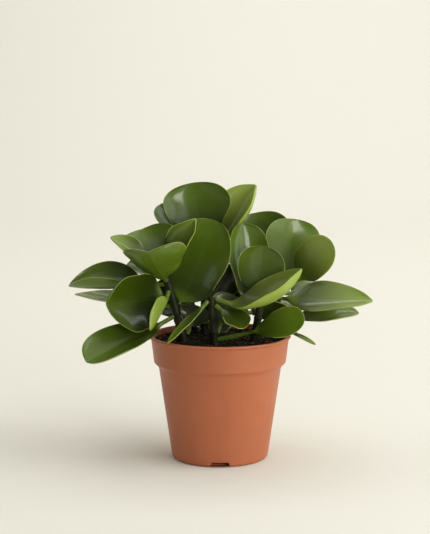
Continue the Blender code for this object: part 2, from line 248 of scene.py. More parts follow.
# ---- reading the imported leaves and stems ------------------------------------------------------
PACKED_WELD = 0.002 * MM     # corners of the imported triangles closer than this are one
LEAF_POINTS = 12             # points of a packed leaf's ring
TIP_THINNING = 0.4           # a blade's thickness at its very tip over that of its last ring
LEAST_CUP = 0.02             # radians; a flat leaf is read as one cupped this little
LEAST_THICKNESS = 0.05 * MM
STALK_RINGS = 2              # rings of a packed leaf before its blade opens


def nodes_named(prefix):
    return sorted(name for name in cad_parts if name.startswith(prefix))


def welded(node):
    """The node's shape with its loose triangles joined at their corners."""
    shape = bmesh.new()
    shape.from_mesh(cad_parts[node].data)
    bmesh.ops.remove_doubles(shape, verts=shape.verts, dist=PACKED_WELD)
    return shape


def rings_from(pole):
    """The rings of points around a pole, one after another, each in order round the piece."""
    seen, level, rings = {pole}, {pole}, []
    while True:
        ring = {edge.other_vert(point) for point in level for edge in point.link_edges} - seen
        if not ring:
            return rings
        seen |= ring
        ordered, current = [], min(ring, key=lambda point: point.index)
        while current is not None:
            ordered.append(current)
            inward = [edge for edge in current.link_edges
                      if any(point in level for face in edge.link_faces for point in face.verts)]
            near = [edge.other_vert(current) for edge in inward]
            near = [point for point in near if point in ring and point not in ordered]
            current = near[0] if near else None
        rings.append(ordered)
        level = ring


def unevenness(pole):
    """1 in the round end of a stalk, and more at a blade's tip."""
    lengths = [edge.calc_length() for edge in pole.link_edges]
    return max(lengths) / min(lengths)


def matched(ring, neighbour):
    """The ring turned, and reversed if need be, to follow its neighbour point by point."""
    ways = [np.roll(way, shift, axis=0) for way in (ring, ring[::-1]) for shift in range(len(ring))]
    return min(ways, key=lambda way: np.linalg.norm(way - neighbour, axis=1).sum())


class Sections:
    """A leaf's cross-sections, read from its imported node, and the leaf's frame at any point."""

    def __init__(self, node):
        shape = welded(node)
        shape.verts.index_update()
        poles = [point for point in shape.verts if len(point.link_edges) == LEAF_POINTS]
        tip = max(poles, key=unevenness)
        rings = [np.array([point.co for point in ring]) for ring in reversed(rings_from(tip))
                 if len(ring) == LEAF_POINTS]
        tip = np.array(tip.co)
        shape.free()
        half = len(rings[0]) // 2
        spans = [np.linalg.norm(ring - np.roll(ring, half, axis=0), axis=1) for ring in rings]
        widest = max(range(len(rings)), key=lambda i: spans[i].max())
        rings[widest] = np.roll(rings[widest], -int(spans[widest].argmax()), axis=0)
        for i in range(widest + 1, len(rings)):
            rings[i] = matched(rings[i], rings[i - 1])
        for i in range(widest - 1, -1, -1):
            rings[i] = matched(rings[i], rings[i + 1])
        rings = np.array(rings)
        quarter = half // 2
        rise = (rings[widest, 0] + rings[widest, half]) / 2 - rings[widest].mean(0)
        if np.dot(rings[widest, quarter] - rings[widest, -quarter], rise) < 0:
            rings = np.roll(rings[:, ::-1], 1, axis=1)
        self.measure(rings, half, quarter, tip)

    def measure(self, rings, half, quarter, tip):
        """Frame, cup, half width and half thickness at each ring and at the tip."""
        left, right = rings[:, 0], rings[:, half]
        above, below = rings[:, quarter], rings[:, -quarter]
        centre = (above + below) / 2
        up, side = unit_rows(above - below), unit_rows(left - right)
        chord = np.linalg.norm(left - right, axis=1) / 2
        rise = np.einsum("ij,ij->i", (left + right) / 2 - centre, up)
        cup = np.maximum(2 * np.arctan2(rise, chord), LEAST_CUP)
        spread = chord * cup / np.sin(cup)
        thick = np.linalg.norm(above - below, axis=1) / 2
        centre = np.vstack((centre, tip))
        steps = np.linalg.norm(np.diff(centre, axis=0), axis=1)
        self.share = np.concatenate(([0.0], np.cumsum(steps) / steps.sum()))
        self.slant = np.arccos(np.clip(1 - 2 * self.share, -1.0, 1.0)) / pi
        self.centre = centre
        self.up = np.vstack((up, up[-1]))
        self.side = np.vstack((side, side[-1]))
        self.cup = np.append(cup, cup[-1])
        self.spread = np.append(spread, 0.0)
        self.thick = np.append(thick, thick[-1] * TIP_THINNING)
        self.start = unit_rows((centre[1] - centre[0])[None])[0]
        self.blade = self.share[STALK_RINGS]

    def at(self, down):
        """Centre, up, side, cup, half width and half thickness at places down the leaf."""
        share = (1 - np.cos(pi * down)) / 2
        centre = spline(self.share, self.centre, share)
        up = unit_rows(spline(self.share, self.up, share))
        side = unit_rows(spline(self.share, self.side, share))
        cup = np.maximum(spline(self.slant, self.cup, down), LEAST_CUP)
        spread = np.maximum(spline(self.slant, self.spread, down), 0.0)
        thick = np.maximum(spline(self.slant, self.thick, down), LEAST_THICKNESS)
        return share, centre, up, side, cup, spread, thick


# ---- leaves -----------------------------------------------------------------------------------
FOOT_ROUNDING = 0.05         # share of a leaf over which its stalk's end is rounded
FOOT_TUCK = 1.6 * MM         # how far the stalk runs into the stem
TUCK_REACH = 0.12            # share of a leaf that the tuck shifts
RIB_WIDTH = 1.3 * MM
BLADE_OPENS_OVER = 0.25      # share of a leaf from the stalk to the full blade
BLADE_SQUARENESS = 0.3       # how much blunter a blade's section is than an oval
RING_CROWDING = 0.18         # draws the points of a section towards the margins and the midrib
SHEET_WAVE = 0.4 * MM        # height of the slow waves in the blade
FULL_SWELL_SPREAD = 10 * MM  # half width under which a blade waves less
STALK_EDGE_MARK = 8.0        # keeps the pale margin off the stalk

# Painted light and shade of each leaf: 0 paints the shade deep inside the bush, 0.5 the grown green, 1 the
# light on a leaf turned to the window.
PAINTED_LIGHT_AND_SHADE = {
    "crown_broad": 0.46, "crown_right": 1.0, "crown_left": 0.45, "left_back": 0.55,
    "left_spear": 0.62, "left_small": 0.7, "left_bowl": 0.34, "centre_great": 0.5,
    "left_long": 0.55, "left_under": 0.8, "left_round": 0.25, "left_edge": 0.8,
    "left_droop": 0.52, "front_blade": 0.6, "front_crescent": 1.0, "front_low": 0.1,
    "front_rim": 0.52, "right_tall": 0.5, "right_face": 0.42, "right_glossy": 0.55,
    "right_round": 0.82, "right_back": 0.4, "right_long": 0.8, "right_under": 0.9,
    "right_tail": 0.9, "crown_inner": 0.0, "crown_low": 0.0, "crown_left_low": 0.0,
    "left_inner": 0.0, "front_inner": 0.0, "right_inner": 0.0, "back_left_inner": 0.0,
    "back_inner_right": 0.0,
}


def grow_leaf(node, look, finish_material):
    """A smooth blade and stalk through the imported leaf's sections."""
    sections = Sections(node)
    dice = random.Random(node)
    ruffle_phase, sheet_phase, sheet_turn, _ = [dice.uniform(0, 2 * pi) for _ in range(4)]
    waves = dice.uniform(1.6, 2.6)
    # Painted light and shade from the table; a leaf not in it gets a random tone around the grown green.
    fresh = PAINTED_LIGHT_AND_SHADE.get(node.removeprefix("leaf_"), dice.uniform(0.3, 0.65))

    def shape(down, turn):
        turn = turn - RING_CROWDING * np.sin(4 * turn)
        share, centre, up, side, cup, spread, thick = sections.at(down)
        blade = ramp(share, sections.blade * 0.8, sections.blade + BLADE_OPENS_OVER)
        close = np.sqrt(np.clip(1 - (1 - np.minimum(down / FOOT_ROUNDING, 1.0)) ** 2, 0.0, 1.0))
        spread, thick = spread * close, thick * close
        tuck = FOOT_TUCK * (1 - np.minimum(down / TUCK_REACH, 1.0))
        centre = centre - sections.start * tuck[:, None]
        across = np.cos(turn)
        lean = cup * across
        bow = spread / cup
        out = side * -np.sin(lean)[:, None] + up * np.cos(lean)[:, None]
        sheet = centre + side * (bow * np.sin(lean))[:, None] + up * (bow * (1 - np.cos(lean)))[:, None]
        upper = np.sin(turn)
        from_rib = np.abs(spread * across)
        rib = np.exp(-(from_rib / RIB_WIDTH) ** 2) * blade * np.clip(1 - share, 0.0, 1.0) ** 0.5
        skin = thick * np.sign(upper) * np.abs(upper) ** (1 - BLADE_SQUARENESS * blade)
        skin = skin - look.rib_groove * rib * (upper > 0) - look.rib_ridge * rib * (upper < 0)
        margin = np.abs(across) ** 3 * blade
        swell = look.ruffle * margin * np.sin(waves * 2 * pi * share + ruffle_phase + pi * (across > 0))
        slow = np.sin(5 * share + sheet_phase) * np.cos(2.2 * across + sheet_turn)
        swell = swell + SHEET_WAVE * blade * slow
        points = sheet + out * (skin + swell * np.minimum(1.0, spread / FULL_SWELL_SPREAD))[:, None]
        along = (share - sections.blade) / (1 - sections.blade)
        marks = {
            "across": across,
            "along": along,
            "upper": upper,
            "from_edge": (spread - from_rib) / MM + STALK_EDGE_MARK * (1 - blade),
            "from_rib": from_rib / MM,
            "fresh": np.full(len(down), fresh),
        }
        return points, marks

    piece = drawn_ball(look.around, look.along, shape)
    return finish(piece, node + "_blade", finish_material, "leaf", node)


class PEPEROMIA_OT_leaves(bpy.types.Operator):
    """Grow a thick, glossy blade and its stalk over each packed leaf"""
    bl_idname = "peperomia.leaves"
    bl_label = "Grow the leaves"

    def execute(self, context):
        look = context.scene.peperomia_leaf
        finish_material = leaf_material(look)
        for node in nodes_named("leaf_"):
            grow_leaf(node, look, finish_material)
        return {"FINISHED"}


# ---- stems ------------------------------------------------------------------------------------
SECTION_GAP = 1.2 * MM       # a packed stem's sections lie further apart than this
STEM_AROUND = 28             # points round a grown stem
STEM_ALONG = 72              # and along it
JOINT_WIDTH = 0.09           # of the distance between two joints
END_CROWDING = 0.25          # how far the points along a stem crowd towards its ends
END_SQUARENESS = 24          # the higher, the blunter a stem's ends
FLUTING = 0.03               # depth of a stem's three faint ridges over its radius
FLUTE_TWIST = 40.0           # radians in a metre


def stem_line(node):
    """Centres and radii of a stem's sections, from its foot to its tip."""
    shape = welded(node)
    points = np.array([point.co for point in shape.verts])
    shape.free()
    middle = points.mean(0)
    axis = np.linalg.svd(points - middle, full_matrices=False)[2][0]
    axis = axis * np.sign(axis[2])
    order = np.argsort((points - middle) @ axis)
    heights = ((points - middle) @ axis)[order]
    breaks = np.flatnonzero(np.diff(heights) > SECTION_GAP) + 1
    groups = np.split(points[order], breaks)
    centres = np.array([group.mean(0) for group in groups])
    radii = [np.linalg.norm(group - centre, axis=1).mean() for group, centre in zip(groups, centres)]
    return centres, np.array(radii)


def grow_stem(node, look, finish_material):
    """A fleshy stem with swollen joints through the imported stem's sections."""
    centres, radii = stem_line(node)
    steps = np.linalg.norm(np.diff(centres, axis=0), axis=1)
    reach = np.concatenate(([0.0], np.cumsum(steps)))
    dice = random.Random(node)
    phase = dice.uniform(0, 2 * pi)
    lean = unit_rows((centres[-1] - centres[0])[None])[0]
    side = unit_rows(np.cross(lean, (0.0, 1.0, 0.0))[None])[0]
    front = np.cross(lean, side)

    def shape(down, turn):
        crowded = (1 - np.cos(pi * np.clip(down, 0.0, 1.0))) / 2
        place = (END_CROWDING * crowded + (1 - END_CROWDING) * down) * reach[-1]
        centre = spline(reach, centres, place)
        radius = spline(reach, radii, place)
        close = np.sqrt(np.clip(1 - np.abs(2 * down - 1) ** END_SQUARENESS, 0.0, 1.0))
        from_joint = np.mod(place + phase * MM, look.joint_gap) / look.joint_gap - 0.5
        joint = np.exp(-(from_joint / JOINT_WIDTH) ** 2)
        radius = (radius + joint * look.joint_swell) * close
        radius = radius * (1 + FLUTING * np.sin(3 * turn + phase + FLUTE_TWIST * place))
        sideways, forward = radius * np.cos(turn), radius * np.sin(turn)
        points = centre + side * sideways[:, None] + front * forward[:, None]
        marks = {"joint": joint, "height": place / reach[-1]}
        return points, marks

    piece = drawn_ball(STEM_AROUND, STEM_ALONG, shape)
    return finish(piece, node + "_skin", finish_material, "stem", node)


class PEPEROMIA_OT_stems(bpy.types.Operator):
    """Grow the fleshy stems with their joints"""
    bl_idname = "peperomia.stems"
    bl_label = "Grow the stems"

    def execute(self, context):
        look = context.scene.peperomia_stem
        finish_material = stem_material(look)
        for node in nodes_named("stem_"):
            grow_stem(node, look, finish_material)
        return {"FINISHED"}


# ---- soil -------------------------------------------------------------------------------------
SOIL_TOP_LAYER = 4.0 * MM    # thickness of the rough layer on the bed
SOIL_CELLS = 150             # squares across the rough layer
EDGE_BAND = 0.3 * MM         # width of the band in which the soil's edge is looked for
CRUMB_SIZE = 1.9 * MM        # of the largest crumb
CRUMB_SHOWS = 0.25           # how far a crumb's middle stands above the surface, over its size
FIBRE_RADIUS = 0.22 * MM
FIBRE_KNOTS = 6
STREWN_WITHIN = 0.97         # share of the soil's radius where crumbs and fibres start
FIBRE_WITHIN = 0.96          # and where a fibre turns back
TURN_BACK = 0.93             # and how far it does, over its distance from the middle


def soil_measures():
    """The soil's radius, and its height where it meets the pot and in the middle."""
    low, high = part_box("soil")
    points = coordinates(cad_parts["soil"].data)
    away = np.hypot(points[:, 0], points[:, 1])
    edge = points[away > away.max() - EDGE_BAND]
    return (high.x - low.x) / 2, edge[:, 2].max(), points[:, 2].max()


SOIL_RADIUS, SOIL_EDGE, SOIL_CROWN = soil_measures()


def soil_surface(x, y):
    """Height of the rough soil over a point."""
    away = min(1.0, (x * x + y * y) ** 0.5 / SOIL_RADIUS)
    place = Vector((x, y, 0.0))
    lumps = noise.fractal(place * 90, 1.0, 2.0, 3) * 1.1
    crumbs = (0.5 - noise.voronoi(place * 330)[0][0]) * 1.3
    grains = noise.noise(place * 1400) * 0.35
    rough = (lumps + crumbs + grains) * MM
    return SOIL_EDGE + (SOIL_CROWN - SOIL_EDGE) * (1 - away * away) + rough


def soil_bed(finish_material):
    """The body of the soil, cut flat below its rough surface."""
    select(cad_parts["soil"])
    bpy.ops.object.duplicate()
    piece = bpy.context.object
    for key in list(piece.keys()):
        del piece[key]
    level = SOIL_EDGE - SOIL_TOP_LAYER / 2
    with editing(piece):
        bpy.ops.mesh.remove_doubles(threshold=WELD)
        bpy.ops.mesh.bisect(plane_co=(0, 0, level), plane_no=(0, 0, 1), clear_outer=True, use_fill=True)
    piece.parent = None
    return finish(piece, "soil_bed", finish_material, "soil", "soil")


def soil_top(finish_material):
    """The rough layer: a grid drawn out to a disc, raised and closed below."""
    clear_selection()
    bpy.ops.mesh.primitive_grid_add(x_subdivisions=SOIL_CELLS, y_subdivisions=SOIL_CELLS, size=2.0)
    piece = bpy.context.object
    square = coordinates(piece.data)
    x, y = square[:, 0], square[:, 1]
    disc_x = x * np.sqrt(1 - y * y / 2) * SOIL_RADIUS
    disc_y = y * np.sqrt(1 - x * x / 2) * SOIL_RADIUS
    height = [soil_surface(*place) for place in zip(disc_x, disc_y)]
    set_coordinates(piece.data, np.column_stack((disc_x, disc_y, height)))
    with editing(piece):
        bpy.ops.mesh.region_to_loop()
        bpy.ops.mesh.extrude_region_move(TRANSFORM_OT_translate={"value": (0, 0, -SOIL_TOP_LAYER)})
        bpy.ops.mesh.edge_face_add()
    recalculate_normals(piece)
    bpy.ops.object.shade_smooth()
    return finish(piece, "soil_surface", finish_material, "soil", "soil")


def strewn_places(count, dice):
    """Places spread evenly over the soil."""
    for _ in range(count):
        turn = dice.uniform(0, 2 * pi)
        away = SOIL_RADIUS * STREWN_WITHIN * dice.random() ** 0.5
        yield away * cos(turn), away * sin(turn)


def soil_crumbs(look, finish_material, dice):
    """Loose crumbs, each the same lump turned, squashed and partly sunk."""
    clear_selection()
    bpy.ops.mesh.primitive_uv_sphere_add(segments=8, ring_count=5, radius=1.0)
    seed = bpy.context.object
    points = coordinates(seed.data)
    bumps = [0.8 + 0.45 * noise.noise(Vector(point) * 1.3) for point in points]
    set_coordinates(seed.data, points * np.array(bumps)[:, None])
    copies = []
    for x, y in strewn_places(look.crumbs, dice):
        crumb = bpy.data.objects.new("crumb", seed.data.copy())
        bpy.context.collection.objects.link(crumb)
        size = dice.uniform(0.5, 1.0) ** 2 * CRUMB_SIZE
        spin = Euler([dice.uniform(0, pi) for _ in range(3)]).to_matrix().to_4x4()
        wide, flat = dice.uniform(0.7, 1.3), dice.uniform(0.6, 1.0)
        squash = Matrix.Diagonal((size * wide, size, size * flat, 1.0))
        place = Vector((x, y, soil_surface(x, y) + size * CRUMB_SHOWS))
        crumb.data.transform(Matrix.Translation(place) @ spin @ squash)
        copies.append(crumb)
    bpy.data.objects.remove(seed)
    select(*copies)
    bpy.ops.object.join()
    piece = bpy.context.object
    return finish(piece, "soil_crumbs", finish_material, "soil", "soil")


def soil_fibres(look, finish_material, dice):
    """Short bent coir fibres lying on the soil."""
    curve = bpy.data.curves.new("soil_fibres", "CURVE")
    curve.dimensions = "3D"
    curve.bevel_depth = FIBRE_RADIUS
    curve.bevel_resolution = 1
    curve.use_fill_caps = True
    for x, y in strewn_places(look.fibres, dice):
        turn = dice.uniform(0, 2 * pi)
        bend = dice.uniform(-60, 60)
        step = dice.uniform(0.6, 1.7) * MM
        line = curve.splines.new("POLY")
        line.points.add(FIBRE_KNOTS - 1)
        for knot in line.points:
            away = (x * x + y * y) ** 0.5
            if away > SOIL_RADIUS * FIBRE_WITHIN:
                x, y = x * TURN_BACK, y * TURN_BACK
            lift = dice.uniform(0.2, 0.7) * MM
            knot.co = (x, y, soil_surface(x, y) + lift, 1.0)
            knot.radius = dice.uniform(0.6, 1.3)
            x, y = x + step * cos(turn), y + step * sin(turn)
            turn += radians(bend) / 3
    fibres = bpy.data.objects.new("soil_fibres", curve)
    bpy.context.collection.objects.link(fibres)
    select(fibres)
    bpy.ops.object.convert(target="MESH")
    piece = bpy.context.object
    with editing(piece):
        bpy.ops.mesh.remove_doubles(threshold=WELD)
        bpy.ops.mesh.normals_make_consistent(inside=False)
    return finish(piece, "soil_fibres", finish_material, "soil", "soil")


class PEPEROMIA_OT_soil(bpy.types.Operator):
    """Fill the pot with peat, crumbs and fibres"""
    bl_idname = "peperomia.soil"
    bl_label = "Fill the soil"

    def execute(self, context):
        look = context.scene.peperomia_soil
        dice = random.Random(look.seed)
        peat = soil_material("peat", look.peat, look.crumb)
        soil_bed(peat)
        soil_top(peat)
        soil_crumbs(look, soil_material("crumbs", look.crumb, look.peat), dice)
        soil_fibres(look, soil_material("coir fibre", look.fibre, look.crumb), dice)
        return {"FINISHED"}


# ---- pot --------------------------------------------------------------------------------------
POT_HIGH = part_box("pot")[1]
POT_HEIGHT = POT_HIGH.z
RIM_RADIUS = POT_HIGH.x
FILLET = 1.2 * MM            # rounding of the pot's moulded corners
SLOT_COUNT = 4               # drain slots; the first looks along -Y
SLOT_FLARE = 0.85            # a slot's top width over its bottom width
SPUN_WELD = 0.02 * MM        # the same for a turned profile, whose last step meets its first
SHARP_ABOVE = 35             # degrees; edges sharper than this keep their crease


def arc(centre, radius, start, end, steps):
    """Points (r, z) of an arc, angles in degrees counted from +r towards +z."""
    turns = [radians(start + (end - start) * i / steps) for i in range(steps + 1)]
    return [(centre[0] + radius * cos(turn), centre[1] + radius * sin(turn)) for turn in turns]


def pot_profile(look):
    """Radius and height from the middle of the floor, up the inside, over the lip and down."""
    lip = look.lip / 2
    band_top = RIM_RADIUS - look.lip_proud
    band_foot = band_top - look.band_taper
    body_top = band_foot - look.step_depth
    band_foot_z = POT_HEIGHT - look.band
    body_top_z = band_foot_z - look.step
    corner = look.base_edge - look.wall / 2
    inner_foot = look.base - look.wall
    inside = ([(0.0, look.floor), (inner_foot - corner, look.floor)]
              + arc((inner_foot - corner, look.floor + corner), corner, -80, 0, 5)
              + [(body_top - look.wall, body_top_z)]
              + arc((band_foot - look.wall - FILLET, band_foot_z + FILLET * 0.2), FILLET, -40, 0, 4))
    rolled = (arc((band_top - look.wall + lip, POT_HEIGHT - lip), lip, 180, 90, 6)
              + arc((RIM_RADIUS - lip, POT_HEIGHT - lip), lip, 90, -80, 10))
    outside = ([(band_top, POT_HEIGHT - look.lip - FILLET * 0.5)]
               + arc((band_foot - FILLET, band_foot_z + FILLET), FILLET, 0, -60, 5)
               + [(body_top + FILLET * 0.8, body_top_z + FILLET * 0.7), (body_top, body_top_z - FILLET)]
               + arc((look.base - look.base_edge, look.base_edge), look.base_edge, 5, -90, 10)
               + [(0.0, 0.0)])
    return inside + rolled + outside


def turned(profile, sides):
    """Spins a profile of radius and height about Z."""
    mesh = bpy.data.meshes.new("turned")
    edges = [(i, i + 1) for i in range(len(profile) - 1)]
    mesh.from_pydata([(r, 0.0, z) for r, z in profile], edges, [])
    piece = bpy.data.objects.new("turned", mesh)
    bpy.context.collection.objects.link(piece)
    with editing(piece):
        bpy.ops.mesh.spin(steps=sides, angle=2 * pi, center=(0, 0, 0), axis=(0, 0, 1))
        bpy.ops.mesh.select_all(action="SELECT")
        bpy.ops.mesh.remove_doubles(threshold=SPUN_WELD)
        bpy.ops.mesh.normals_make_consistent(inside=False)
    return piece


def drain_slots(look):
    """The cutters of all drain slots, joined."""
    cutters = []
    for index in range(SLOT_COUNT):
        clear_selection()
        bpy.ops.mesh.primitive_cube_add(size=1.0)
        cutter = bpy.context.object
        points = coordinates(cutter.data)
        top = points[:, 2] > 0
        points[:, 0] *= np.where(top, look.slot_width * SLOT_FLARE, look.slot_width)
        outside, inside = look.base + look.wall, look.base - look.slot_reach
        points[:, 1] = np.where(points[:, 1] < 0, -outside, -inside)
        points[:, 2] = look.slot_sill + np.where(top, look.slot_height, 0.0)
        set_coordinates(cutter.data, points)
        cutter.data.transform(Matrix.Rotation(2 * pi * index / SLOT_COUNT, 4, "Z"))
        cutters.append(cutter)
    select(*cutters)
    bpy.ops.object.join()
    recalculate_normals(bpy.context.object)
    return bpy.context.object


class PEPEROMIA_OT_pot(bpy.types.Operator):
    """Mould the thin plastic pot with its rolled lip, band and drain slots"""
    bl_idname = "peperomia.pot"
    bl_label = "Mould the pot"

    def execute(self, context):
        look = context.scene.peperomia_pot
        cutter = drain_slots(look)
        piece = turned(pot_profile(look), look.sides)
        select(piece)
        slots = piece.modifiers.new("Slots", "BOOLEAN")
        slots.object = cutter
        slots.solver = "EXACT"
        bpy.ops.object.modifier_apply(modifier=slots.name)
        bpy.data.objects.remove(cutter)
        bpy.ops.object.shade_smooth_by_angle(angle=radians(SHARP_ABOVE))
        finish(piece, "pot_shell", plastic_material(look), "pot_plastic", "pot")
        return {"FINISHED"}


# ---- materials --------------------------------------------------------------------------------
class Finish:
    """A node material built up step by step around one Principled shader."""

    def __init__(self, name):
        self.material = bpy.data.materials.new(name)
        self.material.use_nodes = True
        self.tree = self.material.node_tree
        self.shader = self.tree.nodes["Principled BSDF"]

    def node(self, kind, values=None, **settings):
        made = self.tree.nodes.new("ShaderNode" + kind)
        for key, value in settings.items():
            setattr(made, key, value)
        for key, value in (values or {}).items():
            self.feed(made.inputs[key], value)
        return made

    def feed(self, socket, value):
        if isinstance(value, bpy.types.NodeSocket):
            self.tree.links.new(value, socket)
        else:
            socket.default_value = value

    def object_place(self):
        return self.node("TexCoord").outputs["Object"]

    def mark(self, name):
        return self.node("Attribute", attribute_name=name, attribute_type="GEOMETRY").outputs["Fac"]

    def math(self, operation, first, second=0.0):
        made = self.node("Math", operation=operation)
        self.feed(made.inputs[0], first)
        self.feed(made.inputs[1], second)
        return made.outputs[0]

    def ramp(self, value, low, high, start=0.0, end=1.0, way="SMOOTHSTEP"):
        """Runs from start at low to end at high, and stays there beyond."""
        made = self.node("MapRange", {"Value": value, "From Min": low, "From Max": high,
                                      "To Min": start, "To Max": end}, interpolation_type=way)
        return made.outputs[0]

    def mix(self, share, first, second):
        made = self.node("Mix", data_type="RGBA")
        self.feed(made.inputs["Factor"], share)
        self.feed(made.inputs[6], first)
        self.feed(made.inputs[7], second)
        return made.outputs[2]

    def noise(self, place, scale, detail=2.0, roughness=0.5):
        return self.node("TexNoise", {"Vector": place, "Scale": scale, "Detail": detail,
                                      "Roughness": roughness}).outputs[0]

    def bump(self, height, distance, strength=1.0, normal=None):
        values = {"Height": height, "Distance": distance, "Strength": strength}
        if normal is not None:
            values["Normal"] = normal
        return self.node("Bump", values).outputs[0]

    def done(self, sockets):
        """Feeds the shader's sockets and gives the material."""
        for socket, value in sockets.items():
            self.feed(self.shader.inputs[socket], value)
        return self.material


def leaf_material(look):
    """Waxy leaf: greens with painted light and shade per leaf, painted shade towards the foot, paler
    below, thin pale margin, faint ribs and veins.
    """
    f = Finish("peperomia leaf")
    deep, upper, under = tuple(look.deep), tuple(look.upper), tuple(look.under)
    place = f.object_place()
    across, along = f.math("ABSOLUTE", f.mark("across")), f.mark("along")
    mottle = f.noise(place, 38.0, 3.0, 0.55)
    fine = f.noise(place, 420.0)
    # Painted light and shade: the per-leaf mark runs from the painted shade (0) over the grown green (0.5)
    # to the painted light (1).
    grown = f.ramp(f.mark("fresh"), 0.0, 0.5, way="LINEAR")
    painted_lit = f.ramp(f.mark("fresh"), 0.5, 1.0, way="LINEAR")

    greens = f.mix(painted_lit, f.mix(grown, deep, upper), tuple(look.fresh))
    greens = f.mix(f.ramp(mottle, 0.3, 0.7, 0.0, 0.10), greens, tuple(look.fresh))
    # Painted shade: darker towards each leaf's foot, where the bush shades it.
    greens = f.mix(f.ramp(along, 0.05, 0.9, 0.85, 0.0), greens, deep)
    vein = f.math("SUBTRACT", f.math("MULTIPLY", along, 7.0), f.math("MULTIPLY", across, 2.6))
    vein = f.math("ABSOLUTE", f.math("SUBTRACT", f.math("FRACT", vein), 0.5))
    vein = f.math("MULTIPLY", f.ramp(vein, 0.0, 0.09, 1.0, 0.0), f.ramp(across, 0.5, 0.9, 1.0, 0.0))
    rib = f.ramp(f.mark("from_rib"), 0.3, 1.5, 1.0, 0.0)
    rib = f.math("MULTIPLY", rib, f.ramp(along, 0.6, 1.0, 1.0, 0.0))
    lines = f.math("MULTIPLY", f.math("MAXIMUM", f.math("MULTIPLY", vein, 0.3), rib), 0.1)
    greens = f.mix(lines, greens, under)

    below = f.mix(f.ramp(mottle, 0.3, 0.7, 0.0, 0.3), under, upper)
    # Painted light on the undersides, as on the upper faces.
    below = f.mix(painted_lit, below, tuple(look.fresh))
    side = f.ramp(f.mark("upper"), -0.12, 0.12)
    surface = f.mix(side, below, greens)
    surface = f.mix(f.ramp(f.mark("from_edge"), 0.1, 0.75, 0.85, 0.0), surface, tuple(look.margin))
    surface = f.mix(f.ramp(along, -0.02, 0.12, 0.8, 0.0), surface, under)

    rough = f.math("ADD", f.ramp(side, 0.0, 1.0, 0.46, 0.36), f.math("MULTIPLY", mottle, 0.1))
    relief = f.math("ADD", f.math("MULTIPLY", vein, -0.2), f.math("MULTIPLY", mottle, 1.2))
    relief = f.bump(fine, 0.06 * MM, 0.5, f.bump(relief, 0.3 * MM, 0.6))
    return f.done({"Base Color": surface, "Roughness": rough, "Normal": relief,
                   "Specular IOR Level": 0.18, "Coat Weight": 0.5, "Coat Roughness": 0.15,
                   "Subsurface Weight": 0.08, "Subsurface Radius": (0.35, 0.6, 0.1),
                   "Subsurface Scale": 3.0 * MM})


def stem_material(look):
    """Fleshy stem, browner at its foot and its joints."""
    f = Finish("peperomia stem")
    mottle = f.noise(f.object_place(), 160.0, 3.0)
    # The skin's near-black green is partly painted shade.
    skin = f.mix(f.ramp(f.mark("height"), 0.15, 0.5, 1.0, 0.0), tuple(look.skin), tuple(look.foot))
    skin = f.mix(f.math("MULTIPLY", f.mark("joint"), 0.5), skin, tuple(look.foot))
    skin = f.mix(f.ramp(mottle, 0.35, 0.65, 0.0, 0.35), skin, tuple(look.foot))
    return f.done({"Base Color": skin, "Roughness": f.ramp(mottle, 0.2, 0.8, 0.38, 0.6),
                   "Normal": f.bump(mottle, 0.3 * MM, 0.7), "Specular IOR Level": 0.2,
                   "Subsurface Weight": 0.08, "Subsurface Radius": (0.5, 0.6, 0.15),
                   "Subsurface Scale": 3.0 * MM})


def soil_material(name, dark, light):
    """Damp soil, its dark tones partly painted shade: fine grains of one tone in another, in clods."""
    f = Finish(name)
    place = f.object_place()
    grain = f.noise(place, 520.0, 4.0, 0.65)
    clod = f.noise(place, 110.0)
    tone = f.mix(f.ramp(grain, 0.45, 0.75), tuple(dark), tuple(light))
    tone = f.mix(f.ramp(clod, 0.4, 0.7, 0.0, 0.5), tone, tuple(dark))
    return f.done({"Base Color": tone, "Roughness": f.ramp(clod, 0.3, 0.7, 0.75, 0.98),
                   "Normal": f.bump(grain, 0.8 * MM), "Specular IOR Level": 0.25})


def plastic_material(look):
    """Moulded plastic with a faint orange peel, clouds and flow streaks."""
    f = Finish("terracotta plastic")
    place = f.object_place()
    cloud = f.noise(place, 22.0, 3.0)
    peel = f.noise(place, 900.0)
    drawn_out = f.node("Mapping", {"Vector": place, "Scale": (160.0, 160.0, 6.0)}).outputs[0]
    streak = f.noise(drawn_out, 1.0)
    deep = tuple(channel * 0.82 for channel in look.plastic[:3]) + (1.0,)
    tone = f.mix(f.ramp(cloud, 0.3, 0.7, 0.0, 0.45), tuple(look.plastic), deep)
    tone = f.mix(f.ramp(streak, 0.45, 0.7, 0.0, 0.22), tone, deep)
    rough = f.math("ADD", f.ramp(cloud, 0.3, 0.7, 0.40, 0.48), f.math("MULTIPLY", peel, 0.08))
    relief = f.bump(streak, 0.06 * MM, 0.4, f.bump(peel, 0.08 * MM, 0.5))
    return f.done({"Base Color": tone, "Roughness": rough, "Normal": relief,
                   "Specular IOR Level": 0.45})


def paper_material(look):
    """Matt paper with a faint tooth."""
    f = Finish("background paper")
    tooth = f.noise(f.object_place(), 300.0)
    shade = tuple(channel * 0.985 for channel in look.paper[:3]) + (1.0,)
    return f.done({"Base Color": f.mix(tooth, tuple(look.paper), shade),
                   "Roughness": 0.9, "Specular IOR Level": 0.1})


# ---- stage ------------------------------------------------------------------------------------
CAMERA_PLACE = (-0.0042, -1.200, 0.321)
CAMERA_PITCH = 7.52          # degrees below the level
CAMERA_LENS = 96.9
CAMERA_SENSOR = 36.0
BUSH_MIDDLE = (0.0, 0.0, 0.13)
GLOSSY_LEAF = (0.058, 0.01, 0.17)
SWEEP_NEAR = -5.0            # the paper's front edge along Y
SWEEP_BEND_START = 1.9       # where it begins to curve up
SWEEP_BEND = 1.5             # radius of the curve
SWEEP_TOP = 3.5
SWEEP_HALF_WIDTH = 6.0

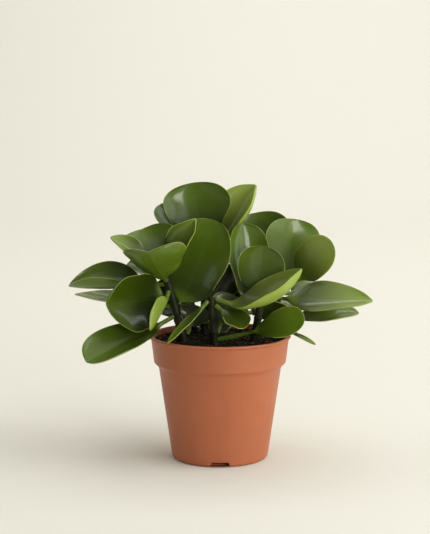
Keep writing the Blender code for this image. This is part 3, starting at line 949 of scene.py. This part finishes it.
# Light: its place, what it is turned to, its width and height, its property and its tint.
LIGHTS = {
    "window": ((1.7, -0.5, 1.1), BUSH_MIDDLE, (2.2, 2.2), "key", (0.97, 1.0, 0.99)),
    "skylight": ((0.77, -1.28, 0.35), GLOSSY_LEAF, (0.42, 0.36), "pane", (1.0, 0.98, 0.93)),
    "ceiling": ((0.4, 0.1, 2.3), BUSH_MIDDLE, (2.6, 2.6), "top", (1.0, 0.985, 0.95)),
    "reflector": ((-1.3, 0.2, 1.1), BUSH_MIDDLE, (1.2, 1.2), "fill", (1.0, 0.97, 0.94)),
    "backdrop": ((0.5, 1.6, 2.6), (0.3, 3.4, 0.6), (3.5, 0.8), "wall", (0.98, 1.0, 0.985)),
}


def area_light(name, place, target, size, power, tint):
    light = bpy.data.lights.new(name, "AREA")
    light.shape = "RECTANGLE"
    light.size, light.size_y = size
    light.energy = power
    light.color = tint
    lamp = bpy.data.objects.new(name, light)
    lamp.location = place
    lamp.rotation_euler = (Vector(target) - Vector(place)).to_track_quat("-Z", "Y").to_euler()
    bpy.context.scene.collection.objects.link(lamp)


def paper_sweep(look):
    """Floor and backdrop in one sheet: flat under the pot, curved up a good way behind it."""
    clear_selection()
    bpy.ops.mesh.primitive_grid_add(x_subdivisions=8, y_subdivisions=90, size=2.0)
    sweep = bpy.context.object
    points = coordinates(sweep.data)
    flat, curve, wall = SWEEP_BEND_START - SWEEP_NEAR, SWEEP_BEND * pi / 2, SWEEP_TOP - SWEEP_BEND
    travel = (points[:, 1] + 1) / 2 * (flat + curve + wall)
    angle = np.clip((travel - flat) / SWEEP_BEND, 0.0, pi / 2)
    rise = np.maximum(travel - flat - curve, 0.0)
    y = SWEEP_NEAR + np.minimum(travel, flat) + SWEEP_BEND * np.sin(angle)
    z = SWEEP_BEND * (1 - np.cos(angle)) + rise
    set_coordinates(sweep.data, np.column_stack((points[:, 0] * SWEEP_HALF_WIDTH, y, z)))
    bpy.ops.object.shade_smooth()
    sweep.name = "paper_sweep"
    sweep.data.materials.append(paper_material(look))


class PEPEROMIA_OT_stage(bpy.types.Operator):
    """Set the paper sweep, the soft light and the camera"""
    bl_idname = "peperomia.stage"
    bl_label = "Set the stage"

    def execute(self, context):
        look = context.scene.peperomia_stage
        scene = context.scene
        paper_sweep(look)
        for name, (place, target, size, power, tint) in LIGHTS.items():
            area_light(name, place, target, size, getattr(look, power), tint)
        scene.world = scene.world or bpy.data.worlds.new("room")
        scene.world.use_nodes = True
        room = scene.world.node_tree.nodes["Background"]
        room.inputs["Color"].default_value = (1.0, 0.97, 0.90, 1.0)
        room.inputs["Strength"].default_value = look.sky
        camera = bpy.data.cameras.new("camera")
        camera.lens = CAMERA_LENS
        camera.sensor_width = CAMERA_SENSOR
        camera.clip_end = 50.0
        viewer = bpy.data.objects.new("camera", camera)
        viewer.location = CAMERA_PLACE
        viewer.rotation_euler = (radians(90 - CAMERA_PITCH), 0.0, 0.0)
        scene.collection.objects.link(viewer)
        scene.camera = viewer
        scene.view_settings.view_transform = "Standard"
        return {"FINISHED"}


# ---- panel and registration -------------------------------------------------------------------
class PEPEROMIA_PT_panel(bpy.types.Panel):
    """Lists the steps in order with what can be changed"""
    bl_label = "Potted peperomia"
    bl_idname = "PEPEROMIA_PT_panel"
    bl_space_type = "VIEW_3D"
    bl_region_type = "UI"
    bl_category = "Peperomia"

    def draw(self, context):
        for look, operator in STEPS:
            box = self.layout.box()
            box.operator(operator.bl_idname)
            settings = getattr(context.scene, look)
            for setting in settings.__annotations__:
                box.prop(settings, setting)


STEPS = (
    ("peperomia_leaf", PEPEROMIA_OT_leaves),
    ("peperomia_stem", PEPEROMIA_OT_stems),
    ("peperomia_soil", PEPEROMIA_OT_soil),
    ("peperomia_pot", PEPEROMIA_OT_pot),
    ("peperomia_stage", PEPEROMIA_OT_stage),
)
LOOKS = {
    "peperomia_leaf": LeafLook,
    "peperomia_stem": StemLook,
    "peperomia_soil": SoilLook,
    "peperomia_pot": PotLook,
    "peperomia_stage": StageLook,
}


def register():
    for name, look in LOOKS.items():
        bpy.utils.register_class(look)
        setattr(bpy.types.Scene, name, PointerProperty(type=look))
    for _, operator in STEPS:
        bpy.utils.register_class(operator)
    bpy.utils.register_class(PEPEROMIA_PT_panel)


def unregister():
    bpy.utils.unregister_class(PEPEROMIA_PT_panel)
    for _, operator in reversed(STEPS):
        bpy.utils.unregister_class(operator)
    for name, look in LOOKS.items():
        delattr(bpy.types.Scene, name)
        bpy.utils.unregister_class(look)


def main():
    register()
    bpy.ops.peperomia.leaves()
    bpy.ops.peperomia.stems()
    bpy.ops.peperomia.soil()
    bpy.ops.peperomia.pot()
    bpy.ops.peperomia.stage()


if __name__ == "__main__":
    main()
